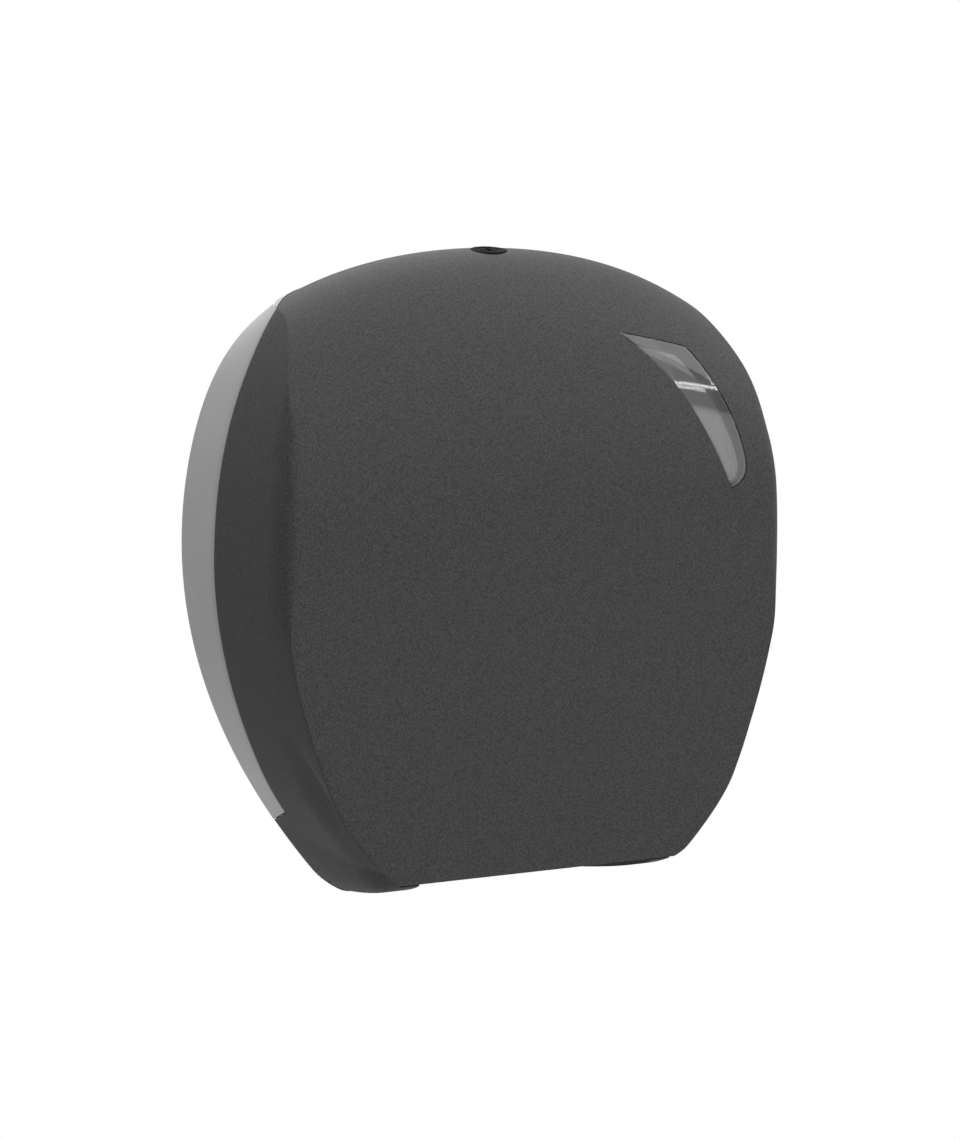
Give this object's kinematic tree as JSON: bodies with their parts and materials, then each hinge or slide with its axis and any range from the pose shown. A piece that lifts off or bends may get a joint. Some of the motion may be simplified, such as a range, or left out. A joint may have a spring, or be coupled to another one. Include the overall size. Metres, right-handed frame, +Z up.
{
  "type": "jumbo toilet roll dispenser",
  "caption": "Wall-mounted jumbo toilet roll dispenser: rounded hinged cover with a crescent level window, key lock on top, turning core hub inside and a serrated tear bar.",
  "frame": {"origin": "centre of the wall-hole pattern, on the wall plane", "axes": "+X to the right seen from the front, +Y into the wall, +Z up; the dispenser stands on the -Y side of the wall"},
  "size_m": [0.326, 0.131, 0.3699],
  "materials": {
    "cover": "fine speckled grain",
    "shell": "smooth, slightly cloudy",
    "clear": "clear, lightly smoked",
    "black": "fine moulded texture",
    "fibre": "pressed fibre",
    "steel": "zinc plated",
    "blade": "fine brushed stainless"
  },
  "bodies": {
    "shell": {"back_plate": "shell", "left_flank": "shell", "right_flank": "shell", "spindle_post": "black", "spindle_screws": "steel", "brake_washer": "fibre", "hub_washer": "steel", "hub_screw": "steel", "lock_strike": "steel", "strike_screws": "steel"},
    "cover": {"front_cover": "cover", "level_window": "clear", "tear_bar": "blade", "tear_bar_screws": "steel", "lock_housing": "black", "lock_nut": "black", "hinge_pin_left": "steel", "hinge_pin_right": "steel"},
    "hub": {"core_hub": "black"},
    "lock": {"lock_plug": "black", "lock_cam": "steel", "cam_screw": "steel"}
  },
  "joints": [
    {"name": "cover_hinge", "type": "hinge", "parent": "shell", "child": "cover", "pos_m": [0, -0.014, -0.1885], "axis": [1, 0, 0], "range_deg": [0, 95]},
    {"name": "hub_spin", "type": "hinge", "parent": "shell", "child": "hub", "pos_m": [0, -0.05, -0.012], "axis": [0, 1, 0], "continuous": true},
    {"name": "lock_turn", "type": "hinge", "parent": "cover", "child": "lock", "pos_m": [0, -0.051, 0.16746], "axis": [0, 0.1336, -0.991], "range_deg": [0, 90]}
  ]
}
